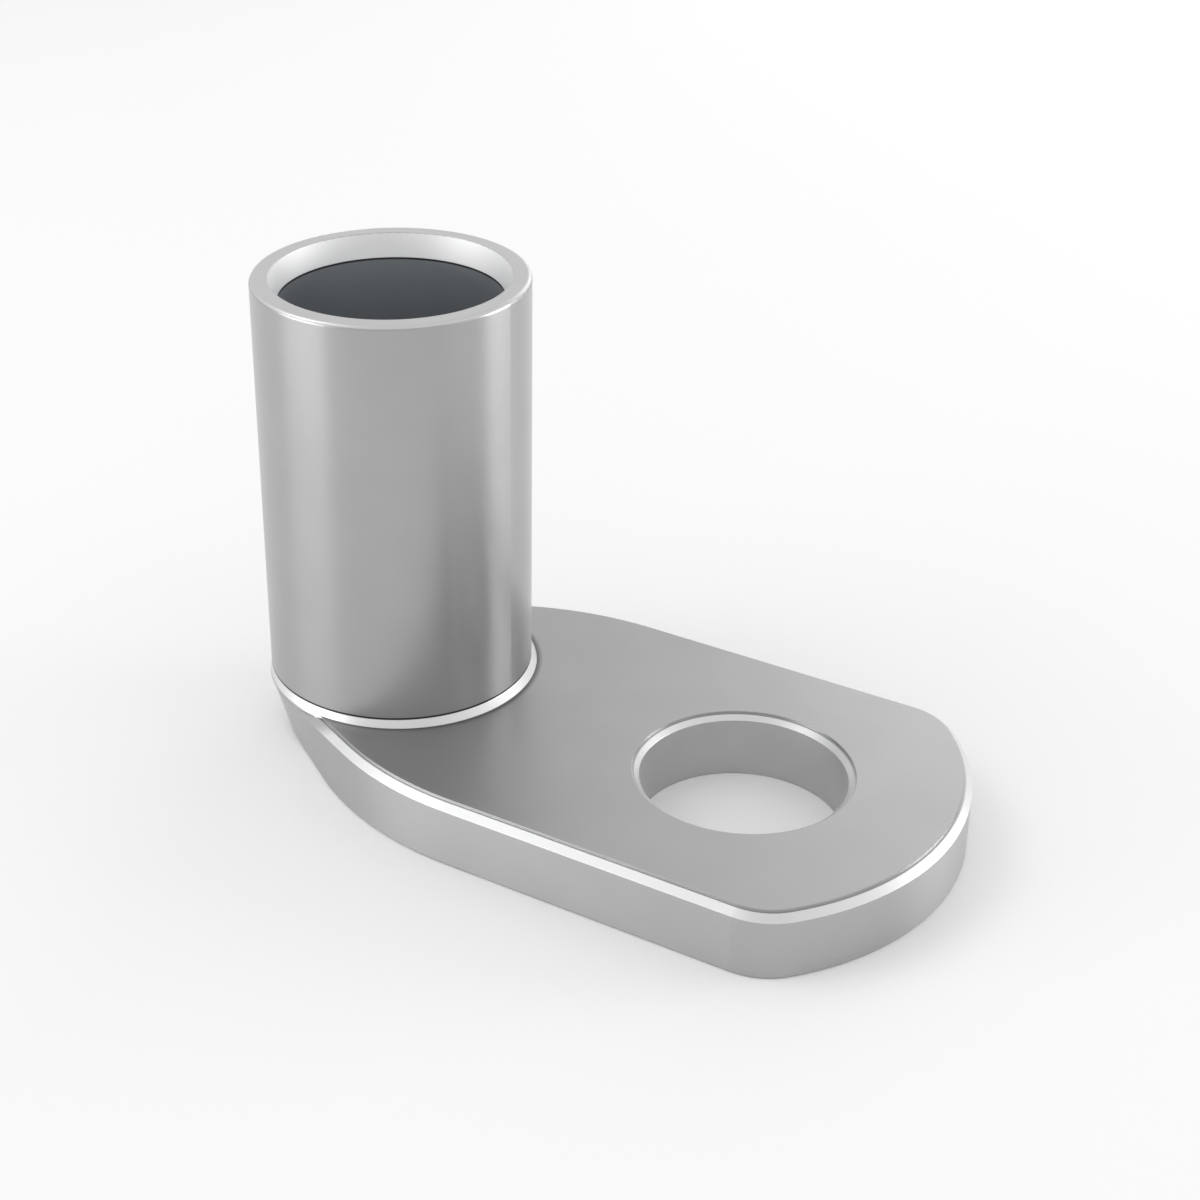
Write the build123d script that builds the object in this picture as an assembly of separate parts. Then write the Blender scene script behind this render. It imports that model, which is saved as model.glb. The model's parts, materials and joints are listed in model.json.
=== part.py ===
from build123d import *
import math
import os

os.makedirs("parts", exist_ok=True)

# An angled cable lug: one solid piece of plated copper. A cable's bare strands are crimped in the
# upright barrel, and the flat palm is bolted down by a stud through its hole.
# Millimetres. The origin is the centre of the stud hole on the contact face, which is the palm's
# flat underside. The barrel stands up along +Z at the palm's -X end, and the tip is at +X.

# Barrel
barrel_diameter = 17.5
bore_diameter = 14.2  # takes the strands of a 95 square millimetre cable with a little play
bore_depth = 24.0  # from the rim to the bore's floor
bore_floor_radius = 3.0  # round between the bore's wall and its floor
lead_in_width = 0.5  # how far the mouth is wider than the bore, on each side
lead_in_depth = 1.5
rim_round = 0.3  # on the outer edge of the rim
barrel_height = 27.4  # from the palm's top face to the rim

# Collar round the barrel's foot, a sloping band that dies out towards the heel
collar_height = 0.45  # above the palm's top face
collar_sink = 0.2  # how deep it starts in the palm
collar_stand_out = 0.3  # of its lower edge beyond the barrel's wall, on each side
collar_shift = 0.25  # of its lower edge towards the tip

# Palm
palm_thickness = 4.5
palm_width = 26.2
stud_hole_diameter = 13.0  # clears a 12 mm stud
stud_to_barrel = 25.9  # between the axes of the stud hole and the barrel
stud_to_tip = 13.8
tip_radius = 17.2
corner_radius = 4.4  # between the tip's arc and the straight sides
shoulder_radius = 21.5  # between the straight sides and the taper towards the heel
taper_angle = 34.5  # of the taper at the contact face, to the palm's centre line
top_bevel = 0.42  # at 45 degrees, along the palm's top edge
hole_bevel = 0.3  # at 45 degrees, at the top of the stud hole
coined_step = 0.15  # how far both bevels start below the top face
coined_shelf = 0.15  # flat between that step and each bevel
edge_break = 0.1  # at 45 degrees, along the palm's bottom edge

# Heel, below and behind the barrel
heel_draft = 1.05  # how far the heel's wall leans in from the barrel's wall to the contact face
heel_length = 7.4  # of the rounded underside, measured back to the stern
heel_height = 3.5  # at which the rounded underside meets the stern

barrel_radius = barrel_diameter / 2
bore_radius = bore_diameter / 2
palm_half_width = palm_width / 2
heel_radius = barrel_radius - heel_draft
rim_level = palm_thickness + barrel_height
shelf_level = palm_thickness - coined_step
bevel_level = shelf_level - top_bevel
barrel_x = -stud_to_barrel

# Where the shoulder arcs are centred: the taper at the contact face touches both them and the
# heel's round. The taper higher up touches the same shoulders and a larger round.
taper = math.radians(taper_angle)
shoulder_y = shoulder_radius - palm_half_width
shoulder_reach = (shoulder_radius - heel_radius - shoulder_y * math.cos(taper)) / math.sin(taper)
shoulder_x = barrel_x + shoulder_reach


def tangent_angle(stern_radius):
    """Angle to the centre line of the straight that touches a stern round and the shoulder arc."""
    span = math.hypot(shoulder_reach, shoulder_y)
    lean = math.atan2(shoulder_y, shoulder_reach)
    return math.asin((shoulder_radius - stern_radius) / span) - lean


def palm_section(level, stern_radius, inset):
    """The palm's outline at a height, drawn in from the full outline by an inset."""
    stern = stern_radius - inset
    shoulder = shoulder_radius - inset
    corner = corner_radius - inset
    tip = tip_radius - inset
    side = palm_half_width - inset
    angle = tangent_angle(stern_radius)
    tip_x = stud_to_tip - tip_radius
    corner_y = palm_half_width - corner_radius
    corner_x = tip_x + math.sqrt((tip_radius - corner_radius) ** 2 - corner_y**2)
    turn = math.atan2(corner_y, corner_x - tip_x)

    def on_arc(centre_x, centre_y, radius, direction):
        """The point of an arc that lies in a direction from its centre."""
        return (centre_x + radius * math.cos(direction), centre_y + radius * math.sin(direction))

    taper_normal = math.pi / 2 + angle
    shoulder_turn = (taper_normal + math.pi / 2) / 2
    corner_turn = (turn + math.pi / 2) / 2
    stern_end = on_arc(barrel_x, 0, stern, taper_normal)
    shoulder_start = on_arc(shoulder_x, -shoulder_y, shoulder, taper_normal)
    shoulder_mid = on_arc(shoulder_x, -shoulder_y, shoulder, shoulder_turn)
    corner_mid = on_arc(corner_x, corner_y, corner, corner_turn)
    tip_start = on_arc(tip_x, 0, tip, turn)

    def mirrored(point):
        return (point[0], -point[1])

    edges = [
        ThreePointArc(mirrored(stern_end), (barrel_x - stern, 0), stern_end),
        Line(stern_end, shoulder_start),
        ThreePointArc(shoulder_start, shoulder_mid, (shoulder_x, side)),
        Line((shoulder_x, side), (corner_x, side)),
        ThreePointArc((corner_x, side), corner_mid, tip_start),
        ThreePointArc(tip_start, (tip_x + tip, 0), mirrored(tip_start)),
        ThreePointArc(mirrored(tip_start), mirrored(corner_mid), (corner_x, -side)),
        Line((corner_x, -side), (shoulder_x, -side)),
        ThreePointArc((shoulder_x, -side), mirrored(shoulder_mid), mirrored(shoulder_start)),
        Line(mirrored(shoulder_start), mirrored(stern_end)),
    ]
    return Pos(0, 0, level) * Face(Wire(edges))


def palm():
    """The flat palm and the heel's drafted walls in ruled layers, with the coined top face."""
    draft_at_break = heel_draft * edge_break / bevel_level
    levels = [
        palm_section(0, heel_radius, edge_break),
        palm_section(edge_break, heel_radius + draft_at_break, 0),
        palm_section(bevel_level, barrel_radius, 0),
        palm_section(shelf_level, barrel_radius, top_bevel),
    ]
    top_face = palm_section(bevel_level, barrel_radius, top_bevel + coined_shelf)
    coined_top = extrude(top_face, palm_thickness - bevel_level, dir=(0, 0, 1))
    return loft(levels, ruled=True) + coined_top


def heel_envelope():
    """Side view of the lug as a prism: square everywhere but for the heel's elliptical underside."""
    stern_x = barrel_x - barrel_radius
    far_x = stud_to_tip + palm_width
    top = rim_level + barrel_height
    round_start = (stern_x + heel_length, 0)
    edges = [
        EllipticalCenterArc(
            (stern_x + heel_length, heel_height), heel_length, heel_height, 180, arc_size=90
        ),
        Line(round_start, (far_x, 0)),
        Line((far_x, 0), (far_x, top)),
        Line((far_x, top), (stern_x, top)),
        Line((stern_x, top), (stern_x, heel_height)),
    ]
    profile = Plane.XZ * Face(Wire(edges))
    return extrude(profile, palm_width, both=True)


def barrel():
    """The tube with its lead-in, rounded rim and blind bore, as one revolve."""
    floor = rim_level - bore_depth
    mouth_radius = bore_radius + lead_in_width
    round_45 = 1 - math.sqrt(0.5)
    edges = [
        Line((0, floor), (bore_radius - bore_floor_radius, floor)),
        ThreePointArc(
            (bore_radius - bore_floor_radius, floor),
            (bore_radius - bore_floor_radius * round_45, floor + bore_floor_radius * round_45),
            (bore_radius, floor + bore_floor_radius),
        ),
        Line((bore_radius, floor + bore_floor_radius), (bore_radius, rim_level - lead_in_depth)),
        Line((bore_radius, rim_level - lead_in_depth), (mouth_radius, rim_level)),
        Line((mouth_radius, rim_level), (barrel_radius - rim_round, rim_level)),
        ThreePointArc(
            (barrel_radius - rim_round, rim_level),
            (barrel_radius - rim_round * round_45, rim_level - rim_round * round_45),
            (barrel_radius, rim_level - rim_round),
        ),
        Line((barrel_radius, rim_level - rim_round), (barrel_radius, bevel_level)),
        Line((barrel_radius, bevel_level), (0, bevel_level)),
        Line((0, bevel_level), (0, floor)),
    ]
    profile = Plane.XZ * Face(Wire(edges))
    return Pos(barrel_x, 0, 0) * revolve(profile, Axis.Z)


def collar():
    """The sloping band at the barrel's foot, between two circles that aren't concentric."""
    foot_level = palm_thickness - collar_sink
    foot = Pos(barrel_x + collar_shift, 0, foot_level) * Circle(barrel_radius + collar_stand_out)
    top = Pos(barrel_x, 0, palm_thickness + collar_height) * Circle(barrel_radius)
    return loft([foot.face(), top.face()], ruled=True)


def stud_hole():
    """What the stud hole takes out of the palm: a straight wall, a bevel and the coined step."""
    hole_radius = stud_hole_diameter / 2
    shank = Pos(0, 0, palm_thickness / 2) * Cylinder(hole_radius, 2 * palm_thickness)
    bevel = Pos(0, 0, shelf_level) * Cone(
        hole_radius, hole_radius + 2 * hole_bevel, 2 * hole_bevel
    )
    step = Pos(0, 0, palm_thickness) * Cylinder(
        hole_radius + hole_bevel + coined_shelf, 2 * coined_step
    )
    return shank + bevel + step


cable_lug = (palm() & heel_envelope()) + barrel() + collar() - stud_hole()
export_step(cable_lug, "parts/cable_lug.step")
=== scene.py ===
import json
import logging
import math
from dataclasses import dataclass, field
from enum import Enum

import bpy
import numpy as np
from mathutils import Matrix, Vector


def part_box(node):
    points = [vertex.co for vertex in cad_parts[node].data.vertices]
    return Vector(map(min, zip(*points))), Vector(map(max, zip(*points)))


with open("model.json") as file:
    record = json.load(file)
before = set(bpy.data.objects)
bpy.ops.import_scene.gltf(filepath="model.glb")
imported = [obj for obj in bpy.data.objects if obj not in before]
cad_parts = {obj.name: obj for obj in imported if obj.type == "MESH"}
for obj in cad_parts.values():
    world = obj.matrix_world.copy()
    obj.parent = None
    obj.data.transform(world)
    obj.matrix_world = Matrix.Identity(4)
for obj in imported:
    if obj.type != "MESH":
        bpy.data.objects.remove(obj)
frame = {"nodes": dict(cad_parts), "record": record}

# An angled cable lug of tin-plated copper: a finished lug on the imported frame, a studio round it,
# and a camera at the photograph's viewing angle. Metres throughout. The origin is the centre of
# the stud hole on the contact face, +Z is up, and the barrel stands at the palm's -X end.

MM = 0.001
log = logging.getLogger("cable_lug")


class Blend(Enum):
    """How a Mix node joins two colours."""

    MIX = "MIX"
    MULTIPLY = "MULTIPLY"


class Num:
    """A number socket of a shader. Python's operators on it add the Math nodes they stand for."""

    def __init__(self, graph: "Graph", socket: bpy.types.NodeSocket) -> None:
        """Wraps a socket.

        Args:
            graph: The graph that the socket belongs to.
            socket: The output socket to carry on from.
        """
        self.graph = graph
        self.socket = socket

    def _math(self, operation: str, *values: "Num | float") -> "Num":
        """Adds one Math node and returns its result."""
        return self.graph.math(operation, *values)

    def __add__(self, other: "Num | float") -> "Num":
        """self + other."""
        return self._math("ADD", self, other)

    def __radd__(self, other: float) -> "Num":
        """other + self."""
        return self._math("ADD", other, self)

    def __sub__(self, other: "Num | float") -> "Num":
        """self - other."""
        return self._math("SUBTRACT", self, other)

    def __rsub__(self, other: float) -> "Num":
        """other - self."""
        return self._math("SUBTRACT", other, self)

    def __mul__(self, other: "Num | float") -> "Num":
        """self * other."""
        return self._math("MULTIPLY", self, other)

    def __rmul__(self, other: float) -> "Num":
        """other * self."""
        return self._math("MULTIPLY", other, self)

    def __pow__(self, other: "Num | float") -> "Num":
        """self ** other."""
        return self._math("POWER", self, other)

    def between(self, low: float, high: float) -> "Num":
        """Rises smoothly from 0 at low to 1 at high, and the other way round where low > high."""
        settings = {"interpolation_type": "SMOOTHSTEP"}
        inputs = {"Value": self, "From Min": low, "From Max": high}
        node = self.graph.add("ShaderNodeMapRange", settings, inputs)
        return Num(self.graph, node.outputs["Result"])


class Graph:
    """The node tree of a material or of the world, with one method that adds its nodes."""

    def __init__(self, owner: bpy.types.Material | bpy.types.World) -> None:
        """Empties the owner's node tree.

        Args:
            owner: The material or world to give nodes to.
        """
        owner.use_nodes = True
        self.tree = owner.node_tree
        self.tree.nodes.clear()

    def add(
        self, kind: str, settings: dict | None = None, inputs: dict | None = None
    ) -> bpy.types.Node:
        """Adds a node.

        Args:
            kind: The node's type, such as ShaderNodeTexNoise.
            settings: The node's own properties, which are set first.
            inputs: A value, a socket or a Num for each input, by its name or number.

        Returns:
            The new node.
        """
        node = self.tree.nodes.new(kind)
        for name, value in (settings or {}).items():
            setattr(node, name, value)
        for name, value in (inputs or {}).items():
            self.feed(node.inputs[name], value)
        return node

    def feed(self, socket: bpy.types.NodeSocket, value: object) -> None:
        """Links a socket to another, or sets its own value."""
        if isinstance(value, Num):
            value = value.socket
        if isinstance(value, bpy.types.NodeSocket):
            self.tree.links.new(value, socket)
        else:
            socket.default_value = value

    def math(self, operation: str, *values: "Num | float") -> Num:
        """Adds a Math node and returns its result."""
        node = self.add("ShaderNodeMath", {"operation": operation}, dict(enumerate(values)))
        return Num(self, node.outputs[0])

    def most(self, *values: Num) -> Num:
        """The largest of several numbers."""
        largest = values[0]
        for value in values[1:]:
            largest = self.math("MAXIMUM", largest, value)
        return largest

    def noise(self, place: bpy.types.NodeSocket, grain: float, detail: float = 2.0) -> Num:
        """Fractal noise from 0 to 1 whose grains are about that many metres wide."""
        inputs = {"Vector": place, "Scale": 1 / grain, "Detail": detail}
        node = self.add("ShaderNodeTexNoise", {"noise_dimensions": "3D"}, inputs)
        return Num(self, node.outputs["Fac"])

    def split(self, vector: bpy.types.NodeSocket) -> tuple[Num, Num, Num]:
        """The three numbers of a vector."""
        node = self.add("ShaderNodeSeparateXYZ", None, {"Vector": vector})
        return tuple(Num(self, node.outputs[axis]) for axis in "XYZ")

    def blend(
        self, factor: Num | float, first: object, second: object, how: Blend = Blend.MIX
    ) -> bpy.types.NodeSocket:
        """Mixes two colours, each a tuple or a socket.

        Args:
            factor: How much of the second colour there is, from 0 to 1.
            first: The colour underneath.
            second: The colour on top.
            how: The way that they are joined.

        Returns:
            The socket of the result.
        """
        settings = {"data_type": "RGBA", "blend_type": how.value}
        node = self.add("ShaderNodeMix", settings, {0: factor, 6: first, 7: second})
        return node.outputs[2]


def rgb(value: float, warmth: float = 0.0) -> tuple[float, float, float, float]:
    """A grey as an opaque colour, a little warm or, below zero, a little cool."""
    return (value * (1 + warmth), value, value * (1 - warmth), 1.0)


@dataclass(frozen=True)
class PolishAndPaintedLight:
    """One form's paleness, roughness and warmth of grey: on the palm the plating's own, on the
    other forms a paleness painted to stand for highlights on some and for shade on others.
    """

    tin: float
    roughness: float
    warmth: float = -0.002


@dataclass(frozen=True)
class TinPlate:
    """Satin electroplated tin over copper.

    The turned and trimmed walls stretch reflections up and down. The bevels, the collar, the rim
    and the machined lead-in are painted paler than the palm as painted highlights, and the barrel
    is painted a little darker as painted shade. The bore and the stud hole are duller and painted
    paler, a painted light that lifts the shade in them. The palm's top beside the collar carries a
    painted shadow, and the lines where the collar and the lead-in meet their neighbours are dark
    with painted shade.
    """

    name: str = "tin_plate"
    palm: PolishAndPaintedLight = PolishAndPaintedLight(0.49, 0.37)
    # Darker than the palm: painted shade on the barrel.
    barrel: PolishAndPaintedLight = PolishAndPaintedLight(0.435, 0.30)
    # Paler than the palm: a painted highlight on the rim's face and round.
    rim: PolishAndPaintedLight = PolishAndPaintedLight(0.69, 0.36)
    # Paler than the palm: a painted highlight on the bevels and the collar.
    painted_bevel_highlight: PolishAndPaintedLight = PolishAndPaintedLight(0.775, 0.42)
    # Much paler than the palm: a painted highlight on the lead-in.
    lead_in: PolishAndPaintedLight = PolishAndPaintedLight(0.92, 0.60)
    # Paler and cooler than the palm: painted light that lifts the shade in the bore.
    bore: PolishAndPaintedLight = PolishAndPaintedLight(0.57, 0.50, -0.045)
    # Paler than the palm: painted light that lifts the shade on the stud hole's wall.
    stud_hole: PolishAndPaintedLight = PolishAndPaintedLight(0.57, 0.50)
    cloud_shade: float = 0.965
    # Darkens the palm's top beside the collar: a painted shadow in the inward corner.
    painted_corner_shadow: float = 0.36
    # Darkens thin lines in the creases over the collar and under the lead-in: painted shade.
    painted_crease_shade: float = 0.16
    roughness_spread: float = 0.05
    noise_middle: float = 0.5
    stretch: float = 0.8
    quarter_turn: float = 0.25
    cloud_size: float = 5.0 * MM
    cloud_detail: float = 3.0
    cloud_span: tuple[float, float] = (0.3, 0.7)
    grain_size: float = 0.14 * MM
    grain_depth: float = 0.0008 * MM
    line_size: float = 0.07 * MM
    line_depth: float = 0.0005 * MM
    line_reach: float = 0.12
    edge_round: float = 0.09 * MM
    edge_samples: int = 6

    def material(self, zones: "Zones") -> bpy.types.Material:
        """Builds the material.

        Args:
            zones: Where the lug's forms lie.

        Returns:
            The finished material, which reads Object coordinates and the surface's own normal.
        """
        made = bpy.data.materials.new(self.name)
        graph = Graph(made)
        where = graph.add("ShaderNodeTexCoord")
        place = where.outputs["Object"]
        spot = Spot(*graph.split(place), graph.split(where.outputs["Normal"])[2])
        clouds = graph.noise(place, self.cloud_size, self.cloud_detail).between(*self.cloud_span)
        grain = graph.noise(place, self.grain_size)

        colour = rgb(self.palm.tin, self.palm.warmth)
        roughness = self.palm.roughness
        # Each layer paints a form paler or darker than the palm: painted highlights on the rim, the
        # bevels, the collar and the lead-in, painted shade on the barrel, and painted light that
        # lifts the shade in the bore and the stud hole.
        painted_light_layers = [
            (zones.over_collar(spot), self.barrel),
            (zones.rim(spot), self.rim),
            (graph.most(zones.bevels(spot), zones.collar(spot)), self.painted_bevel_highlight),
            (zones.lead_in(spot), self.lead_in),
            (zones.bore(spot), self.bore),
            (zones.stud_hole(spot), self.stud_hole),
        ]
        for mask, polish_and_painted_light in painted_light_layers:
            colour = graph.blend(mask, colour, rgb(polish_and_painted_light.tin, polish_and_painted_light.warmth))
            roughness = roughness * (1.0 - mask) + mask * polish_and_painted_light.roughness
        roughness = roughness + (grain - self.noise_middle) * self.roughness_spread
        colour = graph.blend(clouds, colour, rgb(self.cloud_shade), Blend.MULTIPLY)
        # Painted shadow on the palm's top in the inward corner beside the collar.
        colour = graph.blend(zones.corner(spot), colour, rgb(self.painted_corner_shadow), Blend.MULTIPLY)
        # Thin dark lines over the collar and round the bore under the lead-in: painted shade in the
        # creases.
        lines = graph.most(zones.seam(spot), zones.painted_shade_under_lead_in(spot))
        colour = graph.blend(lines, colour, rgb(self.painted_crease_shade), Blend.MULTIPLY)

        inputs = {
            "Base Color": colour,
            "Metallic": 1.0,
            "Roughness": roughness,
            "Normal": self._normal(graph, place, grain),
        }
        plain = graph.add("ShaderNodeBsdfPrincipled", None, inputs)
        turning = {"Anisotropic": self.stretch, "Anisotropic Rotation": self.quarter_turn}
        turned = graph.add("ShaderNodeBsdfPrincipled", None, {**inputs, **turning})
        both = {0: zones.walls(spot), 1: plain.outputs[0], 2: turned.outputs[0]}
        shader = graph.add("ShaderNodeMixShader", None, both)
        output = graph.add("ShaderNodeOutputMaterial")
        graph.feed(output.inputs["Surface"], shader.outputs[0])
        return made

    def _normal(
        self, graph: Graph, place: bpy.types.NodeSocket, grain: Num
    ) -> bpy.types.NodeSocket:
        """The normal of a surface with softened edges, fine grain and drawn lines along Z.

        Args:
            graph: The material's graph.
            place: The Object coordinates.
            grain: The noise that also makes the roughness uneven.

        Returns:
            The socket of the normal.
        """
        reach = (self.line_reach, self.line_reach, 1.0)
        squeezed = graph.add(
            "ShaderNodeVectorMath", {"operation": "MULTIPLY"}, {0: place, 1: reach}
        )
        lines = graph.noise(squeezed.outputs[0], self.line_size)
        relief = grain * self.grain_depth + lines * self.line_depth
        samples = {"samples": self.edge_samples}
        rounded = graph.add("ShaderNodeBevel", samples, {"Radius": self.edge_round})
        inputs = {
            "Strength": 1.0,
            "Distance": 1.0,
            "Height": relief,
            "Normal": rounded.outputs["Normal"],
        }
        return graph.add("ShaderNodeBump", None, inputs).outputs["Normal"]


@dataclass
class Spot:
    """A shaded point: where it is, and how far up its surface faces, from 1 for up to -1."""

    x: Num
    y: Num
    z: Num
    facing: Num


@dataclass
class Zones:
    """Where the lug's forms lie, from the bore and the stud hole as the record states them.

    A mask is 1 on its form and 0 elsewhere, and most have edges as wide as blur. Each pair of
    facings says where a mask starts and where it is full, as a surface turns from level to upright
    or back.
    """

    axis_x: float
    axis_y: float
    bore_radius: float
    bore_top: float
    rim_level: float
    hole_x: float
    hole_y: float
    hole_radius: float
    wall: float = 1.65 * MM
    lead_in_width: float = 0.5 * MM
    rim_round: float = 0.3 * MM
    lowest_bore: float = 1.0 * MM
    collar_foot: float = 4.45 * MM
    collar_top: float = 4.95 * MM
    collar_reach: float = 0.6 * MM
    bevel_fade: float = 1.0 * MM
    contact_shift: float = 0.173 * MM
    contact_stand_out: float = 0.208 * MM
    corner_width: float = 0.5 * MM
    shade_over_collar_width: float = 0.14 * MM
    shade_under_lead_in_width: float = 0.2 * MM
    blur: float = 0.03 * MM
    level_facing: tuple[float, float] = (0.95, 0.85)
    upright_facing: tuple[float, float] = (0.25, 0.15)
    bevel_facing_low: tuple[float, float] = (0.55, 0.65)
    bevel_facing_high: tuple[float, float] = (0.85, 0.75)
    rim_facing: tuple[float, float] = (0.3, 0.6)

    @classmethod
    def stated(cls, record: dict, node: str) -> "Zones":
        """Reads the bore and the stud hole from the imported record's mounts.

        Args:
            record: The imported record.
            node: The lug's node, whose top is the rim.

        Returns:
            The zones, with the bore's top where the lead-in starts.
        """
        mounts = {mount["name"]: mount for mount in record["mounts"]}
        bore, hole = mounts["cable_bore"], mounts["stud_hole"]
        x, y, middle = bore["pos_m"]
        top = middle + bore["dims"]["length_mm"] * MM / 2
        rim_level = float(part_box(node)[1][2])
        hole_x, hole_y, _ = hole["pos_m"]
        hole_radius = hole["dims"]["r_mm"] * MM
        return cls(x, y, bore["dims"]["r_mm"] * MM, top, rim_level, hole_x, hole_y, hole_radius)

    @property
    def barrel_radius(self) -> float:
        """The barrel's outside radius."""
        return self.bore_radius + self.wall

    def distance(self, spot: Spot, x: float, y: float) -> Num:
        """The level distance to an upright axis: the root of dx squared plus dy squared."""
        return ((spot.x - x) ** 2.0 + (spot.y - y) ** 2.0) ** 0.5

    def reach(self, spot: Spot, shift: float = 0.0) -> Num:
        """The distance to the barrel's axis, or to that axis moved along X by the shift."""
        return self.distance(spot, self.axis_x + shift, self.axis_y)

    def hollow(self, spot: Spot) -> Num:
        """Everything within the barrel's mouth."""
        mouth = self.bore_radius + self.lead_in_width
        return self.reach(spot).between(mouth, mouth - self.blur)

    def bore(self, spot: Spot) -> Num:
        """The bore's wall and floor, up to the lead-in."""
        over_underside = spot.z.between(self.lowest_bore / 2, self.lowest_bore)
        under_lead_in = spot.z.between(self.bore_top, self.bore_top - self.blur)
        return self.hollow(spot) * over_underside * under_lead_in

    def lead_in(self, spot: Spot) -> Num:
        """The cone between the bore and the rim."""
        return self.hollow(spot) * spot.z.between(self.bore_top - self.blur, self.bore_top)

    def rim(self, spot: Spot) -> Num:
        """The rim's flat face and most of the round on its outer edge."""
        high = spot.z.between(self.rim_level - self.rim_round, self.rim_level - self.rim_round / 2)
        return high * spot.facing.between(*self.rim_facing)

    def over_collar(self, spot: Spot) -> Num:
        """All that lies higher than the collar."""
        return spot.z.between(self.collar_top, self.collar_top + self.blur)

    def collar(self, spot: Spot) -> Num:
        """The sloping band, which is the only form there that doesn't face straight up."""
        outside = self.barrel_radius + self.collar_reach
        near = self.reach(spot).between(outside, outside - self.collar_reach / 2)
        over_foot = spot.z.between(self.collar_foot - self.blur, self.collar_foot)
        return near * over_foot * (1.0 - self.over_collar(spot)) * self.sloping(spot)

    def sloping(self, spot: Spot) -> Num:
        """Faces that don't face straight up."""
        return spot.facing.between(*self.level_facing)

    def bevels(self, spot: Spot) -> Num:
        """The faces at 45 degrees, which face up by the root of a half, clear of the collar."""
        under = spot.facing.between(*self.bevel_facing_high)
        leaning = spot.facing.between(*self.bevel_facing_low) * under
        clear = self.barrel_radius + self.collar_reach
        return leaning * self.reach(spot).between(clear, clear + self.bevel_fade)

    def seam(self, spot: Spot) -> Num:
        """A thin line on the barrel, just over the collar, where painted shade darkens the crease.
        """
        top = self.collar_top + self.shade_over_collar_width
        line = self.over_collar(spot) * spot.z.between(top + self.blur, top)
        return line * (1.0 - self.hollow(spot))

    def corner(self, spot: Spot) -> Num:
        """The palm's top face beside the collar, where the two meet in an inward corner, which
        takes a painted shadow.
        """
        contact = self.barrel_radius + self.contact_stand_out
        reach = self.reach(spot, self.contact_shift)
        beside = reach.between(contact + self.corner_width, contact)
        return beside * (1.0 - self.sloping(spot)) * (1.0 - self.over_collar(spot))

    def painted_shade_under_lead_in(self, spot: Spot) -> Num:
        """A thin line round the bore, just under the lead-in, where painted shade darkens it under
        the crease.
        """
        low = self.bore_top - self.shade_under_lead_in_width
        return self.bore(spot) * spot.z.between(low, low + self.shade_under_lead_in_width / 2)

    def upright(self, spot: Spot) -> Num:
        """Faces that stand upright or nearly so."""
        steep, sheer = self.upright_facing
        return spot.facing.between(steep, sheer) * spot.facing.between(-steep, -sheer)

    def stud_hole(self, spot: Spot) -> Num:
        """The stud hole's punched wall."""
        edge = self.hole_radius + self.blur
        within = self.distance(spot, self.hole_x, self.hole_y).between(edge + self.blur, edge)
        return within * self.upright(spot)

    def walls(self, spot: Spot) -> Num:
        """The upright outer walls, which were turned on the barrel and trimmed on the palm."""
        return self.upright(spot) * (1.0 - self.hollow(spot)) * (1.0 - self.stud_hole(spot))


@dataclass
class CableLug:
    """The lug itself: one piece of plated copper."""

    node: str = "cable_lug"
    finish_and_painted_light: TinPlate = field(default_factory=TinPlate)

    def dress(self) -> bpy.types.Object:
        """Gives the lug its material: plated tin with painted highlights and painted shade.

        Returns:
            The lug's object.
        """
        lug = frame["nodes"][self.node]
        lug.data.materials.clear()
        zones = Zones.stated(frame["record"], self.node)
        lug.data.materials.append(self.finish_and_painted_light.material(zones))
        return lug


@dataclass
class Lamp:
    """A soft box: a square or oblong area light that looks at a point."""

    name: str
    azimuth: float
    elevation: float
    distance: float
    width: float
    height: float
    power: float
    aim: tuple[float, float, float] = (-0.012, 0.0, 0.010)

    def place(self) -> bpy.types.Object:
        """Sets the lamp up round the point that it looks at.

        Returns:
            The lamp's object.
        """
        turn = math.radians(self.azimuth)
        rise = math.radians(self.elevation)
        level = math.cos(rise)
        way = Vector((math.sin(turn) * level, -math.cos(turn) * level, math.sin(rise)))
        data = bpy.data.lights.new(self.name, "AREA")
        data.shape = "RECTANGLE"
        data.size = self.width
        data.size_y = self.height
        data.energy = self.power
        lamp = bpy.data.objects.new(self.name, data)
        lamp.location = Vector(self.aim) + way * self.distance
        lamp.rotation_euler = way.to_track_quat("Z", "Y").to_euler()
        lamp.visible_camera = False
        bpy.context.scene.collection.objects.link(lamp)
        return lamp


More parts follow.
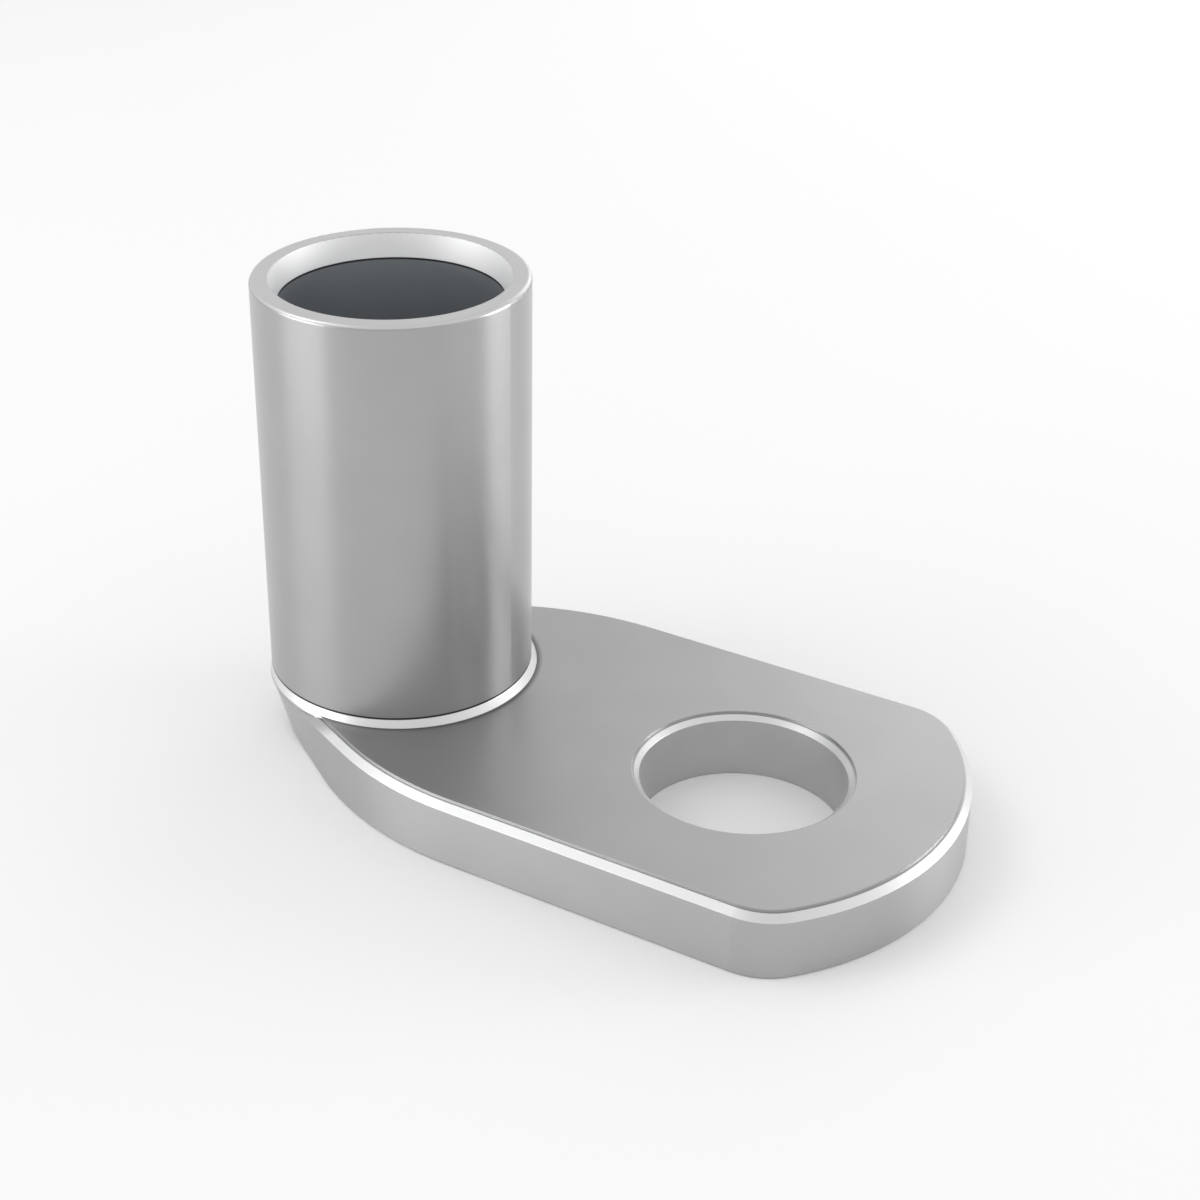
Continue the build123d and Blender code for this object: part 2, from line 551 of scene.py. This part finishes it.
@dataclass
class Studio:
    """Pale paper under the lug, soft boxes round it, two of them low, and a pale grey room."""

    half_width: float = 1.6
    clearance: float = 0.02 * MM
    paper: float = 0.80
    white: float = 1.0
    room: float = 0.78

    def floor(self) -> bpy.types.Object:
        """Lays the floor just under the contact face.

        Rays from the camera, from gloss and from glass see white paper with the lug's shadow on
        it, while the light that it throws back on the lug is that of plain pale paper.

        Returns:
            The floor's object.
        """
        side = self.half_width
        sheet = np.array([[-1, -1, 0], [1, -1, 0], [1, 1, 0], [-1, 1, 0]], float) * side
        sheet[:, 2] = -self.clearance
        mesh = bpy.data.meshes.new("floor")
        mesh.from_pydata(sheet.tolist(), [], [(0, 1, 2, 3)])
        paper = bpy.data.materials.new("paper")
        graph = Graph(paper)
        path = graph.add("ShaderNodeLightPath")
        sights = ("Is Camera Ray", "Is Glossy Ray", "Is Transmission Ray")
        camera, glossy, glass = (Num(graph, path.outputs[name]) for name in sights)
        seen = graph.most(camera, glossy, glass)
        colour = graph.blend(seen, rgb(self.paper), rgb(self.white))
        shader = graph.add("ShaderNodeBsdfDiffuse", None, {"Color": colour})
        output = graph.add("ShaderNodeOutputMaterial")
        graph.feed(output.inputs["Surface"], shader.outputs[0])
        mesh.materials.append(paper)
        floor = bpy.data.objects.new("floor", mesh)
        bpy.context.scene.collection.objects.link(floor)
        return floor

    def lamps(self) -> list[bpy.types.Object]:
        """Sets up the soft boxes.

        Returns:
            The lamps' objects.
        """
        # Azimuth and elevation in degrees, distance, width and height in metres, power in watts.
        boxes = [
            Lamp("low_left_box", 321.0, 7.0, 0.30, 0.20, 0.07, 0.22),
            Lamp("low_right_box", 128.0, 7.0, 0.30, 0.14, 0.07, 0.25),
            Lamp("right_box", 90.0, 18.0, 0.30, 0.08, 0.17, 0.015),
            Lamp("rear_box", 185.0, 18.0, 0.30, 0.16, 0.17, 0.069),
            Lamp("high_left_box", 300.0, 48.0, 0.50, 0.25, 0.25, 0.31),
        ]
        return [box.place() for box in boxes]

    def sky(self) -> None:
        """Fills the room with an even pale light."""
        world = bpy.data.worlds.new("room")
        bpy.context.scene.world = world
        graph = Graph(world)
        light = graph.add("ShaderNodeBackground", None, {"Color": rgb(self.room), "Strength": 1.0})
        output = graph.add("ShaderNodeOutputWorld")
        graph.feed(output.inputs["Surface"], light.outputs[0])


@dataclass
class ProductCamera:
    """The camera, at the photograph's viewing angle."""

    place: tuple[float, float, float] = (0.0500, -0.1051, 0.0803)
    azimuth: float = 32.31
    elevation: float = 28.88
    sensor: float = 36.0
    lens: float = 66.48
    shift_right: float = 0.0667

    def set_up(self) -> bpy.types.Object:
        """Makes the scene's camera.

        Returns:
            The camera's object.
        """
        data = bpy.data.cameras.new("product_camera")
        data.sensor_width = self.sensor
        data.lens = self.lens
        data.shift_x = self.shift_right
        data.clip_start = 1 * MM
        camera = bpy.data.objects.new("product_camera", data)
        camera.location = self.place
        camera.rotation_euler = (math.radians(90 - self.elevation), 0.0, math.radians(self.azimuth))
        bpy.context.scene.collection.objects.link(camera)
        bpy.context.scene.camera = camera
        return camera


def main() -> None:
    """Builds the lug, the studio and the camera."""
    logging.basicConfig(level=logging.INFO, format="%(message)s")
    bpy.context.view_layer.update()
    lug = CableLug().dress()
    log.info("%s: %d faces", lug.name, len(lug.data.polygons))
    studio = Studio()
    studio.floor()
    studio.lamps()
    studio.sky()
    ProductCamera().set_up()
    bpy.context.scene.view_settings.view_transform = "Standard"
    log.info("studio and camera in place")


if __name__ == "__main__":
    main()
